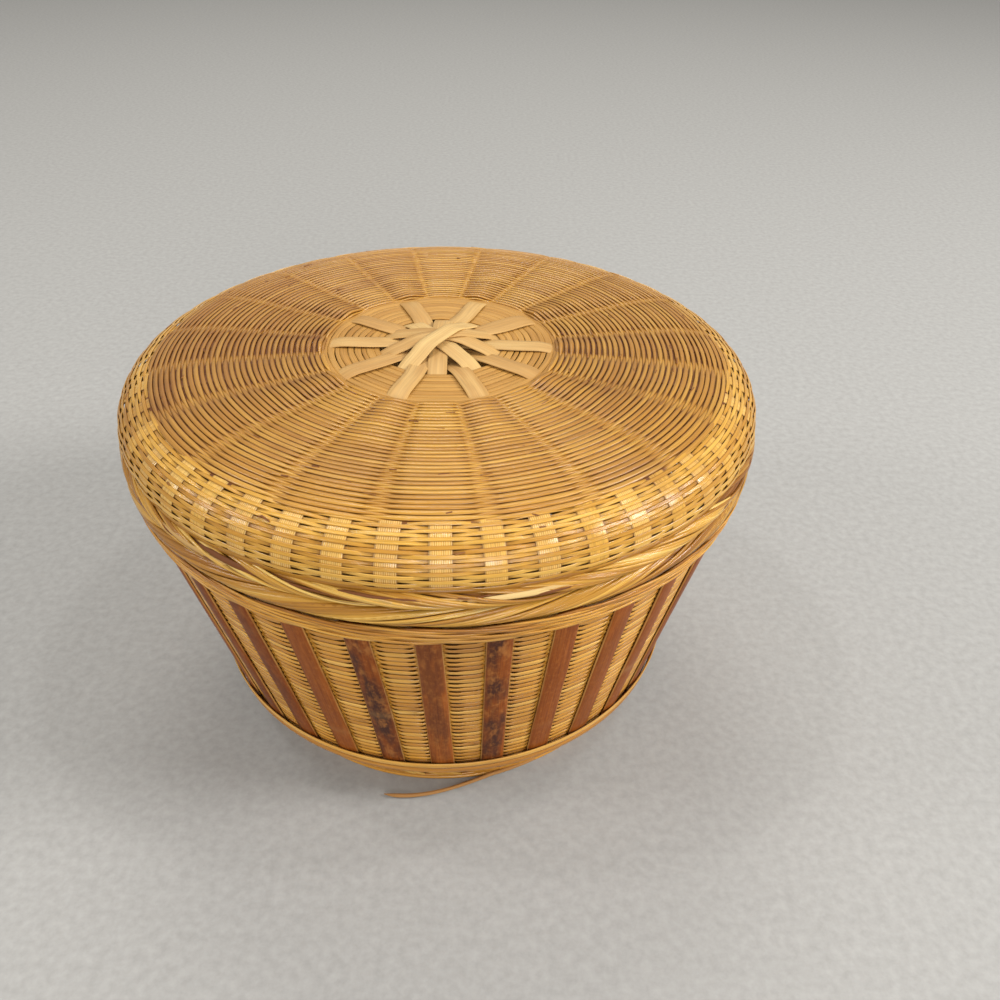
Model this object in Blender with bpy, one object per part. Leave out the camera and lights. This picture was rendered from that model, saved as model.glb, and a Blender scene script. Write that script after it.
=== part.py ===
"""A round lidded bamboo basket, in metres, standing on the floor at z = 0 with its front towards -Y.

The basket is a conical woven wall on a twisted foot, faced with dark bamboo slats that are held by a
hoop below and a twined band above. The lid is a shallow woven cap round a star of flat strips that
cross at its middle. It sits on the rim, round a low collar, and lifts straight off.
"""

import math

import bmesh
import bpy
from mathutils import Vector

MM = 0.001
GAP = 0.3 * MM  # between two pieces that touch
SEGMENTS = 60  # round every plain ring

# The foot and the wall
FOOT_RADIUS = 87.5 * MM  # outside, at the floor
FOOT_FLARE = 5.0 * MM  # how much wider the foot is at its top
FOOT_HEIGHT = 18.2 * MM
FOOT_THICKNESS = 5.5 * MM
FOOT_STRANDS = 36
FOOT_GROOVE = 0.9 * MM  # depth between two strands of the foot
FOOT_BULGE = 0.8 * MM
WALL_OVERHANG = 5.3 * MM  # how far the wall's lower edge stands out past the foot
WALL_TOP_RADIUS = 124.5 * MM  # outside of the weave
WALL_HEIGHT = 105.5 * MM
WALL_THICKNESS = 2.0 * MM
WALL_TURN = 2.5 * MM  # height of the rounded lower edge
FLANGE_REST = 4.0 * MM  # how far the turned-in edge lies on the foot
FLOOR_THICKNESS = 2.0 * MM

# Strips, stakes and slats
STRIP_WIDTH = 7.0 * MM
STRIP_THICKNESS = 0.45 * MM
FLOOR_STRIPS = 6
WALL_STAKE_THICKNESS = 1.0 * MM
WALL_DIP = 0.7 * MM  # how far the weave dives beside a slat
SLATS = 32
SLAT_WIDTH = 9.5 * MM
SLAT_THICKNESS = 0.9 * MM
SLAT_FIRST = math.radians(0.9)  # from the front, towards +X
SLAT_LEAN = math.radians(1.75)  # how far the lower end is turned from the upper one
SLAT_TUCK = 1.5 * MM  # how far a slat's ends stop inside the hoop and the band

# The hoop, the band and the rim
HOOP_HEIGHT = 7.6 * MM
HOOP_STRANDS = 2
HOOP_THICKNESS = 1.5 * MM
HOOP_RAISE = 2.2 * MM  # from the wall's lower edge
BAND_HEIGHT = 8.1 * MM
BAND_ROWS = 4
BAND_THICKNESS = 1.3 * MM
ROW_GROOVE = 0.6 * MM  # depth between two rows of the hoop or the band
RIM_WIDTH = 6.6 * MM
RIM_HEIGHT = 7.6 * MM
COLLAR_DEPTH = 5.0 * MM  # below the top of the wall
COLLAR_RISE = 10.0 * MM  # above the lid's seat
COLLAR_THICKNESS = 1.7 * MM

# The sprung strand beside the foot
STRAND_RADIUS = 1.1 * MM
STRAND_START = math.radians(14.4)  # where it leaves the foot, from the front
STRAND_LENGTH = 45.7 * MM
STRAND_SPRING = math.radians(13.0)  # how far it points away from the foot there
STRAND_CURL = math.radians(40.0)  # how far it bends back by its end

# The lid
LID_PLAY = 1.1 * MM  # between the collar and the lid's border
LID_BORDER_WIDTH = 6.3 * MM
LID_BORDER_HEIGHT = 7.0 * MM
LID_SETBACK = 0.8 * MM  # how far the weave's widest line lies inside the border's outside
LID_WEAVE_HEIGHT = 22.2 * MM
LID_THICKNESS = 1.9 * MM
LID_NECK = 1.2 * MM  # how much the weave draws in towards the border
LID_NECK_HEIGHT = 3.0 * MM
SHOULDER_REACH = 42.7 * MM  # from the widest line in to the flat top
SHOULDER_SQUARENESS = 2.5  # exponent of the shoulder's curve, where 2 is an ellipse
LID_STAKE_WIDTH = 4.0 * MM
LID_STAKE_THICKNESS = 0.8 * MM
LID_DIP = 0.55 * MM  # how much lower the weave lies midway between two stakes
ARM_BULGE = 0.75 * MM  # how far the end of a long arm lifts the weave
ARM_BULGE_RUN = 11.0 * MM  # from the inner edge of the weave to where it is lifted most
HUB_RADIUS = 43.5 * MM  # outer edge of the wide weft round the crossing
HUB_WEAVE_THICKNESS = 1.3 * MM
HUB_STRIPS = 5  # long ones, and as many short ones
LONG_FIRST = math.radians(20)
SHORT_FIRST = math.radians(2)
TUCK_RUN = 1.5 * MM  # along a strip, where it dips under a weave's edge
EDGE_MARGIN = 0.5 * MM

# Twisted borders
BORDER_LOBES = 4
BORDER_TURNS = 10
BORDER_GROOVE = 0.16  # depth between two strands, as a share of the border's half width

# Heights, from the floor
wall_bottom = FOOT_HEIGHT + GAP
wall_top = wall_bottom + WALL_HEIGHT
rim_bottom = wall_top + GAP
lid_seat = rim_bottom + RIM_HEIGHT
strip_pitch = STRIP_THICKNESS + GAP

# Radii of the basket
foot_top_radius = FOOT_RADIUS + FOOT_FLARE
wall_bottom_radius = foot_top_radius + WALL_OVERHANG
flange_radius = foot_top_radius - FLANGE_REST
wall_slope = (WALL_TOP_RADIUS - wall_bottom_radius) / WALL_HEIGHT
collar_bottom = wall_top - COLLAR_DEPTH
facet = math.cos(math.pi / SEGMENTS)  # a ring's flat sides lie this much nearer the axis than its corners


def wall_radius(height):
    """The outside of the woven wall."""
    return wall_bottom_radius + wall_slope * (height - wall_bottom)


def slat_radius(height):
    """The outside of the slats, measured over their crowns."""
    return wall_radius(height) + GAP + SLAT_THICKNESS


def over_slats(height):
    """The inner corner of a ring that lies round the slats."""
    return (slat_radius(height) + GAP) / facet


rim_inner_radius = WALL_TOP_RADIUS - RIM_WIDTH / 2
collar_radius = min(rim_inner_radius, wall_radius(collar_bottom) - WALL_THICKNESS) - GAP

# Radii and heights of the lid, whose heights are measured from its seat
lid_border_radius = collar_radius + LID_PLAY + LID_BORDER_WIDTH / 2
lid_radius = lid_border_radius + LID_BORDER_WIDTH / 2 - LID_SETBACK
shoulder_start = lid_radius - SHOULDER_REACH
lid_weave_bottom = GAP + LID_BORDER_HEIGHT + GAP
shoulder_bottom = lid_weave_bottom + LID_NECK_HEIGHT
lid_top = lid_weave_bottom + LID_WEAVE_HEIGHT
lid_ceiling = lid_top - LID_THICKNESS
under_weave = lid_ceiling - GAP - STRIP_THICKNESS / 2
over_hub_weave = lid_ceiling + HUB_WEAVE_THICKNESS + GAP + STRIP_THICKNESS / 2
long_tuck = HUB_RADIUS + EDGE_MARGIN
weave_inner_radius = long_tuck + TUCK_RUN + EDGE_MARGIN


def crossing_radius(strips):
    """Past this distance from the middle, evenly fanned strips no longer lie over each other."""
    return STRIP_WIDTH / 2 / math.tan(math.pi / 2 / strips) + EDGE_MARGIN


short_tuck = crossing_radius(2 * HUB_STRIPS)
hub_weave_inner_radius = short_tuck + TUCK_RUN + EDGE_MARGIN


def around(radius, angle, height):
    """A point at an angle that is measured from the front towards +X."""
    return Vector((radius * math.sin(angle), -radius * math.cos(angle), height))


def material(name, colour, roughness):
    finish = bpy.data.materials.new(name)
    finish.use_nodes = True
    shader = finish.node_tree.nodes["Principled BSDF"]
    shader.inputs["Base Color"].default_value = (*colour, 1)
    shader.inputs["Roughness"].default_value = roughness
    shader.inputs["Metallic"].default_value = 0
    return finish


def mesh_from(bm, name):
    bmesh.ops.recalc_face_normals(bm, faces=bm.faces)
    mesh = bpy.data.meshes.new(name)
    bm.to_mesh(mesh)
    bm.free()
    mesh.shade_smooth()
    mesh.set_sharp_from_angle(angle=math.radians(35))
    return mesh


def place(name, mesh, parent, finish, turn=0.0):
    piece = bpy.data.objects.new(name, mesh)
    piece.parent = parent
    piece.rotation_euler.z = turn
    if not mesh.materials:
        mesh.materials.append(finish)
    bpy.context.collection.objects.link(piece)
    return piece


def turned_mesh(name, profile):
    """A ring whose closed outline is a list of (radius, height) corners."""
    bm = bmesh.new()
    corners = [bm.verts.new((radius, 0, height)) for radius, height in profile]
    outline = [bm.edges.new((corners[i - 1], corners[i])) for i in range(len(corners))]
    bmesh.ops.spin(
        bm,
        geom=corners + outline,
        axis=(0, 0, 1),
        cent=(0, 0, 0),
        angle=math.tau,
        steps=SEGMENTS,
        use_merge=True,
    )
    return mesh_from(bm, name)


def add_loft(bm, sections, closed=False):
    """One solid through sections of as many corners each, closed into a loop or capped at its ends."""
    rows = [[bm.verts.new(corner) for corner in section] for section in sections]
    count = len(rows[0])
    joins = len(rows) if closed else len(rows) - 1
    for i in range(joins):
        here = rows[i]
        there = rows[(i + 1) % len(rows)]
        for j in range(count):
            after = (j + 1) % count
            bm.faces.new((here[j], here[after], there[after], there[j]))
    if not closed:
        bm.faces.new(rows[0])
        bm.faces.new(rows[-1])


def ribbed_mesh(name, outlines, ribs, first, half_rib, lean=lambda height: 0.0):
    """A ring with even ribs, whose kinds take turns.

    For each kind, outlines holds the ring's outline beside a rib, on its middle line and midway to the next.
    """
    pitch = math.tau / ribs
    sections = []
    for i in range(ribs):
        beside, crest, midway = outlines[i % len(outlines)]
        for offset, profile in ((-half_rib, beside), (0, crest), (half_rib, beside), (pitch / 2, midway)):
            angle = first + pitch * i + offset
            sections.append([around(radius, angle + lean(height), height) for radius, height in profile])
    bm = bmesh.new()
    add_loft(bm, sections, closed=True)
    return mesh_from(bm, name)


def twisted_ring_mesh(name, radius, bottom, width, height, turns):
    """A border of strands wound round its core. Positive turns rise to the right, seen from outside."""
    corners = 2 * BORDER_LOBES
    stations = abs(turns) * corners
    middle = bottom + height / 2
    sections = []
    for i in range(stations):
        angle = math.tau * i / stations
        section = []
        for j in range(corners):
            swing = math.tau * j / corners + turns * angle
            reach = 1 if j % 2 == 0 else 1 - BORDER_GROOVE
            section.append(
                around(
                    radius + reach * width / 2 * math.cos(swing),
                    angle,
                    middle + reach * height / 2 * math.sin(swing),
                )
            )
        sections.append(section)
    bm = bmesh.new()
    add_loft(bm, sections, closed=True)
    return mesh_from(bm, name)


def foot_radius(height):
    """The foot's outside over its strands: a straight flare with a slight bulge."""
    share = height / FOOT_HEIGHT
    return FOOT_RADIUS + FOOT_FLARE * share + FOOT_BULGE * math.sin(math.pi * share)


def foot_groove(angle, share):
    """The depth between the foot's strands, which fall to the right, at a share of its height."""
    return FOOT_GROOVE * (1 - math.cos(FOOT_STRANDS * angle + math.pi * share)) / 2


def foot_mesh():
    """The foot's twisted border, cut flat where it stands."""
    levels = 4
    stations = 3 * FOOT_STRANDS
    sections = []
    for i in range(stations):
        angle = math.tau * i / stations
        section = [
            around(FOOT_RADIUS + FOOT_FLARE - FOOT_THICKNESS, angle, FOOT_HEIGHT),
            around(FOOT_RADIUS - FOOT_THICKNESS, angle, 0),
        ]
        for level in range(levels):
            share = level / (levels - 1)
            height = FOOT_HEIGHT * share
            section.append(around(foot_radius(height) - foot_groove(angle, share), angle, height))
        sections.append(section)
    bm = bmesh.new()
    add_loft(bm, sections, closed=True)
    return mesh_from(bm, "foot_ring")


def floor_mesh():
    bm = bmesh.new()
    bmesh.ops.create_circle(bm, cap_ends=True, segments=SEGMENTS, radius=flange_radius - GAP)
    bmesh.ops.translate(bm, verts=bm.verts, vec=(0, 0, wall_bottom))
    raised = bmesh.ops.extrude_face_region(bm, geom=bm.faces[:])
    upper = [item for item in raised["geom"] if isinstance(item, bmesh.types.BMVert)]
    bmesh.ops.translate(bm, verts=upper, vec=(0, 0, FLOOR_THICKNESS))
    return mesh_from(bm, "floor_weave")


def wall_profile(crest, dip):
    """The wall's outline, rounded in over the foot.

    It is raised inside by crest over a stake, and lowered outside by dip where the weft dives.
    """
    inside = WALL_THICKNESS + crest
    return [
        (flange_radius, wall_bottom),
        (wall_bottom_radius - WALL_THICKNESS, wall_bottom),
        (wall_radius(wall_bottom + WALL_TURN) - dip, wall_bottom + WALL_TURN),
        (WALL_TOP_RADIUS - dip, wall_top),
        (WALL_TOP_RADIUS - WALL_THICKNESS, wall_top),
        (wall_radius(collar_bottom) - WALL_THICKNESS, collar_bottom),
        (wall_radius(collar_bottom - crest) - inside, collar_bottom - crest - EDGE_MARGIN),
        (wall_bottom_radius - inside, wall_bottom + WALL_THICKNESS),
        (flange_radius, wall_bottom + WALL_THICKNESS),
    ]


def wall_mesh():
    """The conical wall. Its weft bulges over stakes midway between the slats, which lean as the slats do."""
    beside_slat = wall_profile(0, WALL_DIP)
    over_stake = wall_profile(WALL_STAKE_THICKNESS, 0)
    under_slat = wall_profile(0, 0)
    return ribbed_mesh(
        "base_wall_weave",
        [(beside_slat, over_stake, under_slat)],
        SLATS,
        SLAT_FIRST + math.pi / SLATS,
        math.pi / SLATS - SLAT_WIDTH / 2 / WALL_TOP_RADIUS,
        lambda height: SLAT_LEAN * (wall_top - height) / WALL_HEIGHT,
    )


def strip_mesh(name, half_path):
    """A flat strip along X. half_path gives the height of its middle line at distances from the crossing."""
    whole_path = [(-distance, height) for distance, height in reversed(half_path)] + half_path
    middles = [Vector((distance, 0, height)) for distance, height in whole_path]
    across = Vector((0, STRIP_WIDTH / 2, 0))
    sections = []
    for i, middle in enumerate(middles):
        arriving = (middle - middles[i - 1]).normalized() if i > 0 else Vector((1, 0, 0))
        leaving = (middles[i + 1] - middle).normalized() if i < len(middles) - 1 else Vector((1, 0, 0))
        ahead = (arriving + leaving).normalized()
        up = Vector((-ahead.z, 0, ahead.x)) * STRIP_THICKNESS / 2 / ahead.dot(arriving)
        below, above = middle - up, middle + up
        sections.append([below - across, below + across, above + across, above - across])
    bm = bmesh.new()
    add_loft(bm, sections)
    return mesh_from(bm, name)


def floor_strip_mesh(order):
    """A strip under the floor: stacked with the others at the crossing and level with them outside it."""
    against_floor = wall_bottom - GAP - STRIP_THICKNESS / 2
    stacked = crossing_radius(FLOOR_STRIPS)
    half_path = [
        (stacked, against_floor - order * strip_pitch),
        (stacked + FLOOR_STRIPS * strip_pitch + TUCK_RUN, against_floor),
        (foot_top_radius - FOOT_THICKNESS - 2 * EDGE_MARGIN, against_floor),
    ]
    return strip_mesh("floor_strip", half_path)


def slat_mesh():
    """One slat at the front: flat against the wall and crowned outside, its lower end turned by the lean."""
    lower = wall_bottom + HOOP_RAISE + SLAT_TUCK
    upper = wall_top - SLAT_TUCK
    sections = []
    for height, angle in ((lower, SLAT_LEAN), (upper, 0)):
        out = around(1, angle, 0)
        side = around(1, angle + math.pi / 2, 0) * SLAT_WIDTH / 2
        foot = around(wall_radius(height) + GAP, angle, height)
        section = [foot + side, foot - side]
        for share in (-1, -0.5, 0.5, 1):
            section.append(foot + side * share + out * SLAT_THICKNESS * (1 - share * share / 2))
        sections.append(section)
    bm = bmesh.new()
    add_loft(bm, sections)
    return mesh_from(bm, "dark_slat")


def rows_mesh(name, bottom, height, rows, thickness):
    """Rows of weft or hoop, one above the other, that lie round the slats."""
    row = height / rows
    profile = [(over_slats(bottom + height), bottom + height), (over_slats(bottom), bottom)]
    for i in range(rows):
        level = bottom + row * i
        if i > 0:
            profile.append((over_slats(level) + thickness - ROW_GROOVE, level))
        for share in (0.2, 0.8):
            crown = level + row * share
            profile.append((over_slats(crown) + thickness, crown))
    return turned_mesh(name, profile)


def collar_mesh():
    top = lid_seat + COLLAR_RISE
    inner = collar_radius - COLLAR_THICKNESS
    profile = [
        (collar_radius, collar_bottom),
        (collar_radius, top - COLLAR_THICKNESS / 2),
        (collar_radius - COLLAR_THICKNESS / 2, top),
        (inner, top),
        (inner, collar_bottom),
    ]
    return turned_mesh("inner_collar", profile)


def strand_mesh():
    """A strand end that springs from a groove of the foot, curls and lies on the floor."""
    stations = 9
    sides = 6
    height = STRAND_RADIUS + GAP
    seat = foot_radius(height) - foot_groove(STRAND_START, height / FOOT_HEIGHT) + GAP
    position = around(seat + STRAND_RADIUS, STRAND_START, height)
    step = STRAND_LENGTH / (stations - 1)
    sections = []
    for i in range(stations):
        share = i / (stations - 1)
        heading = STRAND_START + STRAND_SPRING - STRAND_CURL * share ** 1.5 - math.pi / 2
        out = around(1, heading + math.pi / 2, 0)
        section = []
        for j in range(sides):
            swing = math.tau * j / sides
            section.append(
                position
                + out * STRAND_RADIUS * math.cos(swing)
                + Vector((0, 0, STRAND_RADIUS * math.sin(swing)))
            )
        sections.append(section)
        position = position + around(1, heading, 0) * step
    bm = bmesh.new()
    add_loft(bm, sections)
    return mesh_from(bm, "loose_strand")


def shoulder_point(turn, inset):
    """A point of the lid's shoulder, from its widest line at turn 0 to the flat top at a quarter turn."""
    power = 2 / SHOULDER_SQUARENESS
    across = SHOULDER_REACH - inset
    rise = lid_top - shoulder_bottom - inset
    return (
        shoulder_start + across * max(math.cos(turn), 0) ** power,
        shoulder_bottom + rise * math.sin(turn) ** power,
    )


def lid_profile(crest, dip, bulge):
    """The woven lid's outline.

    It is raised inside by crest over a stake. On top it is lowered by dip between stakes, and lifted by bulge
    over an arm's end.
    """
    steps = 6
    turns = [math.pi / 2 * i / steps for i in range(steps)]
    outside = [shoulder_point(turn, dip * math.sin(turn) ** 2) for turn in turns]
    inside = [shoulder_point(turn, LID_THICKNESS + crest) for turn in turns]
    top = lid_top - dip
    profile = [(lid_radius - LID_NECK, lid_weave_bottom)]
    profile += outside
    profile += [(shoulder_start, top), (weave_inner_radius + ARM_BULGE_RUN, top + bulge)]
    profile.append((weave_inner_radius, top + bulge / 2))
    profile += [(weave_inner_radius, lid_ceiling), (shoulder_start, lid_ceiling)]
    profile += reversed(inside)
    profile.append((lid_radius - LID_NECK - LID_THICKNESS - crest, lid_weave_bottom))
    return profile


def lid_weave_mesh():
    """The woven cap, whose stakes carry on outwards from the arms of the star, short and long in turn."""
    between = lid_profile(0, LID_DIP, 0)
    short_rib = (lid_profile(0, 0, 0), lid_profile(LID_STAKE_THICKNESS, 0, 0), between)
    long_rib = (lid_profile(0, 0, ARM_BULGE), lid_profile(LID_STAKE_THICKNESS, 0, ARM_BULGE), between)
    return ribbed_mesh(
        "lid_weave",
        [short_rib, long_rib],
        4 * HUB_STRIPS,
        SHORT_FIRST,
        LID_STAKE_WIDTH / 2 / lid_radius,
    )


def hub_weave_mesh():
    """The ring of wide weft round the crossing, with its two edges rounded over."""
    top = lid_ceiling + HUB_WEAVE_THICKNESS
    shoulder = lid_ceiling + HUB_WEAVE_THICKNESS / 2
    profile = [
        (hub_weave_inner_radius, lid_ceiling),
        (HUB_RADIUS, lid_ceiling),
        (HUB_RADIUS, shoulder),
        (HUB_RADIUS - EDGE_MARGIN, top),
        (hub_weave_inner_radius + EDGE_MARGIN, top),
        (hub_weave_inner_radius, shoulder),
    ]
    return turned_mesh("lid_hub_weave", profile)


def long_strip_mesh(order):
    """A long strip: stacked at the crossing, over the wide weft, then under the fine weft."""
    low = over_hub_weave - (HUB_STRIPS - 1 - order) * strip_pitch
    half_path = [
        (crossing_radius(HUB_STRIPS), low),
        (short_tuck, over_hub_weave),
        (long_tuck, over_hub_weave),
        (long_tuck + TUCK_RUN, under_weave),
        (shoulder_start, under_weave),
    ]
    return strip_mesh("lid_long_strip", half_path)


def short_strip_mesh(order):
    """A short strip: on top of the crossing, then down onto the long ones, then under both wefts."""
    over_long = over_hub_weave + strip_pitch
    crossing = crossing_radius(HUB_STRIPS)
    half_path = [
        (crossing, over_long + order * strip_pitch),
        (crossing + order * strip_pitch + TUCK_RUN, over_long),
        (short_tuck, over_long),
        (short_tuck + TUCK_RUN, under_weave),
        (shoulder_start, under_weave),
    ]
    return strip_mesh("lid_short_strip", half_path)


def empty(name, height):
    axis = bpy.data.objects.new(name, None)
    axis.empty_display_size = lid_radius
    axis.location.z = height
    bpy.context.collection.objects.link(axis)
    return axis


def build_basket(straw, pale, dark):
    basket = empty("basket_axis", 0)
    place("foot_ring", foot_mesh(), basket, straw)
    for i in range(FLOOR_STRIPS):
        fan = math.pi * i / FLOOR_STRIPS
        place(f"floor_strip_{i + 1}", floor_strip_mesh(i), basket, pale, turn=fan)
    place("floor_weave", floor_mesh(), basket, straw)
    place("base_wall_weave", wall_mesh(), basket, straw)
    slat = slat_mesh()
    for i in range(SLATS):
        place(f"dark_slat_{i + 1:02d}", slat, basket, dark, turn=SLAT_FIRST + math.tau * i / SLATS)
    hoop = rows_mesh("lower_hoop", wall_bottom + HOOP_RAISE, HOOP_HEIGHT, HOOP_STRANDS, HOOP_THICKNESS)
    place("lower_hoop", hoop, basket, pale)
    band = rows_mesh("upper_band", wall_top - BAND_HEIGHT, BAND_HEIGHT, BAND_ROWS, BAND_THICKNESS)
    place("upper_band", band, basket, straw)
    rim = twisted_ring_mesh(
        "base_rim_border", WALL_TOP_RADIUS, rim_bottom, RIM_WIDTH, RIM_HEIGHT, BORDER_TURNS
    )
    place("base_rim_border", rim, basket, straw)
    place("inner_collar", collar_mesh(), basket, pale)
    place("loose_strand", strand_mesh(), basket, pale)


def build_lid(straw, pale, tan):
    lid = empty("lid_axis", lid_seat)
    border = twisted_ring_mesh(
        "lid_border", lid_border_radius, GAP, LID_BORDER_WIDTH, LID_BORDER_HEIGHT, -BORDER_TURNS
    )
    place("lid_border", border, lid, straw)
    place("lid_weave", lid_weave_mesh(), lid, straw)
    place("lid_hub_weave", hub_weave_mesh(), lid, tan)
    for i in range(HUB_STRIPS):
        fan = math.pi * i / HUB_STRIPS - math.pi / 2  # a strip's mesh lies along X, and angle 0 is at -Y
        place(f"lid_long_strip_{i + 1}", long_strip_mesh(i), lid, pale, turn=LONG_FIRST + fan)
        place(f"lid_short_strip_{i + 1}", short_strip_mesh(i), lid, pale, turn=SHORT_FIRST + fan)


def main():
    for leftover in list(bpy.data.objects):
        bpy.data.objects.remove(leftover)
    straw = material("straw_weft", (0.50, 0.30, 0.11), 0.5)
    pale = material("pale_strip", (0.66, 0.46, 0.23), 0.5)
    tan = material("hub_weft", (0.42, 0.25, 0.10), 0.55)
    dark = material("dark_slat", (0.16, 0.07, 0.035), 0.35)
    build_basket(straw, pale, dark)
    build_lid(straw, pale, tan)


main()
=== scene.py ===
import math
from typing import NamedTuple

import bpy
import numpy as np
from mathutils import Matrix, Vector


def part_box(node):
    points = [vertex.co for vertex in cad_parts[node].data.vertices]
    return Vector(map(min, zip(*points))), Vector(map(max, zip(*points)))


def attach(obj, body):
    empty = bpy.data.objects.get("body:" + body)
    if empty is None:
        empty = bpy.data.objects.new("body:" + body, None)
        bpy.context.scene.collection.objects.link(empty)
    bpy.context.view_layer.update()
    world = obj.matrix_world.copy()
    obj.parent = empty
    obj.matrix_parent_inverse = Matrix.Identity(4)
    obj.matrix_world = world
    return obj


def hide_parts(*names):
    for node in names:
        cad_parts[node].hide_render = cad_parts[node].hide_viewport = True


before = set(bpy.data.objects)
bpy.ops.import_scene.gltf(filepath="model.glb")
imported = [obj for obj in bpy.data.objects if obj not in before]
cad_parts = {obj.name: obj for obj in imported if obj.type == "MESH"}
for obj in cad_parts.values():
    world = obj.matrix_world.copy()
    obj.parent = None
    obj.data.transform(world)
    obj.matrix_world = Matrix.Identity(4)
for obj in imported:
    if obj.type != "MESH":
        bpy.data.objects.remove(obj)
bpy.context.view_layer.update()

MM = 0.001
DEGREE = math.radians(1)
UPWARD = np.array((0.0, 0.0, 1.0))


# Sizes of the model that everything is woven on

def corners_of(node):
    return np.array([corner.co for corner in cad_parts[node].data.vertices])


def radii_of(node, low=-1.0, high=1.0):
    """The least and the greatest radius of a round node's corners between two heights."""
    x, y, z = corners_of(node).T
    radii = np.hypot(x, y)[(z > low) & (z < high)]
    return radii.min(), radii.max()


def heights_of(node):
    low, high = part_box(node)
    return low.z, high.z


class Ring:
    """The cross-section of a round node: its limits, its middle and its half sizes."""

    def __init__(self, node):
        self.inner, self.outer = radii_of(node)
        self.bottom, self.top = heights_of(node)
        self.radius = (self.inner + self.outer) / 2
        self.height = (self.bottom + self.top) / 2
        self.half_width = (self.outer - self.inner) / 2
        self.half_height = (self.top - self.bottom) / 2


floor = Ring("floor_weave")
hoop = Ring("lower_hoop")
band = Ring("upper_band")
rim = Ring("base_rim_border")
collar = Ring("inner_collar")
border = Ring("lid_border")
hub_ring = Ring("lid_hub_weave")

foot_bottom, foot_top = heights_of("foot_ring")
foot_inner, foot_outer = radii_of("foot_ring", high=foot_bottom + 1 * MM)
foot_flare = radii_of("foot_ring", low=foot_top - 1 * MM)[1] - foot_outer
wall_bottom, wall_top = heights_of("base_wall_weave")
wall_radius_top = radii_of("base_wall_weave", low=wall_top - 1 * MM)[1]
wall_turn = 2.5 * MM
wall_radius_bottom = radii_of("base_wall_weave", high=wall_bottom + wall_turn + 0.1 * MM)[1]
wall_slope = (wall_radius_top - wall_radius_bottom) / (wall_top - wall_bottom - wall_turn)
flange_radius = radii_of("base_wall_weave", high=wall_bottom + wall_turn)[0]
slat_bottom, slat_top = heights_of("dark_slat_01")
ARM_LIFT = 0.75 * MM
lid_bottom, lid_crest = heights_of("lid_weave")
lid_top = lid_crest - ARM_LIFT
lid_inner, lid_radius = radii_of("lid_weave")
lid_lower_radius = radii_of("lid_weave", high=lid_bottom + 0.5 * MM)[1]
lid_flat_radius = radii_of("lid_weave", low=lid_top - 0.1 * MM, high=lid_top + 0.1 * MM)[1]
lid_corners = corners_of("lid_weave")
lid_widest = np.hypot(lid_corners[:, 0], lid_corners[:, 1]) > lid_radius - 0.05 * MM
shoulder_bottom = lid_corners[lid_widest, 2].max()

SHOULDER_SQUARENESS = 2.5
SLATS = 32
SLAT_WIDTH = 9.5 * MM
SLAT_THICKNESS = 0.9 * MM
SLAT_SINK = 0.45 * MM
SLAT_FIRST = 0.9 * DEGREE
SLAT_LEAN = 1.75 * DEGREE
HUB_STRIPS = 5
LONG_FIRST = 20 * DEGREE
SHORT_FIRST = 2 * DEGREE
CLEAR = 0.3 * MM


# Points and curves

def around(radius, angle, height):
    """Points round the axis, at angles that are measured from the front towards +X."""
    radius, angle, height = np.broadcast_arrays(radius, angle, height)
    return np.stack([radius * np.sin(angle), -radius * np.cos(angle), height], axis=-1)


def unit(vectors):
    return vectors / np.maximum(np.linalg.norm(vectors, axis=-1, keepdims=True), 1e-12)


def run_along(line):
    """How far each point of a line lies from its start, along it."""
    return np.concatenate(([0], np.cumsum(np.linalg.norm(np.diff(line, axis=0), axis=1))))


def ripple(angles, rng, size, turns=(2, 3, 5, 8, 13)):
    """An irregular wave round a ring, which closes on itself."""
    total = np.zeros(len(angles))
    for turn in turns:
        total += rng.uniform(0.4, 1) * np.sin(turn * angles + rng.uniform(0, math.tau))
    return size * total / math.sqrt(len(turns))


def smooth(value, low, high):
    """0 below low and 1 above high, with an even turn between."""
    share = np.clip((value - low) / (high - low), 0, 1)
    return share * share * (3 - 2 * share)


def bell(offset, width):
    """1 where the offset is nothing, and soon 0 on both sides."""
    return np.exp(-((offset / width) ** 2))


class Outline:
    """One side of a turned surface, read at distances along it. Its outside is to the left of its course."""

    def __init__(self, points):
        self.points = np.array(points)
        self.run = run_along(self.points)
        self.length = self.run[-1]
        course = unit(np.gradient(self.points, self.run, axis=0))
        self.outward = np.stack([-course[:, 1], course[:, 0]], axis=1)

    def read(self, distance):
        """Radius and height, and the radial and upward share of the outward direction."""
        columns = np.hstack([self.points, self.outward]).T
        return [np.interp(distance, self.run, column) for column in columns]

    def distance_at_radius(self, radius):
        return np.interp(radius, self.points[:, 0], self.run)


# Strands: cross-sections as shares of half the width and half the thickness, and the meshes made of them

ROUND = np.array([(1, 0), (0.5, 0.87), (-0.5, 0.87), (-1, 0), (-0.5, -0.87), (0.5, -0.87)])
FLAT = np.array([(1, 0), (0.68, 1), (-0.68, 1), (-1, 0), (-0.68, -1), (0.68, -1)])
BROAD = np.array([(1, 0), (0.84, 1), (-0.84, 1), (-1, 0), (-0.84, -1), (0.84, -1)])
STRIP = np.array(
    [(1, 0), (0.95, 0.8), (0.5, 1), (-0.5, 1), (-0.95, 0.8)]
    + [(-1, 0), (-0.95, -0.8), (-0.5, -1), (0.5, -1), (0.95, -0.8)]
)
CROWN = np.array(
    [(1, -0.6), (0.97, -0.1), (0.7, 0.45), (0.3, 0.9), (-0.3, 0.9), (-0.7, 0.45), (-0.97, -0.1)]
    + [(-1, -0.6), (-0.97, -1), (-0.7, -1), (-0.3, -1), (0.3, -1), (0.7, -1), (0.97, -1)]
)
OVAL = np.array([(math.cos(math.tau * k / 10), math.sin(math.tau * k / 10)) for k in range(10)])
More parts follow.
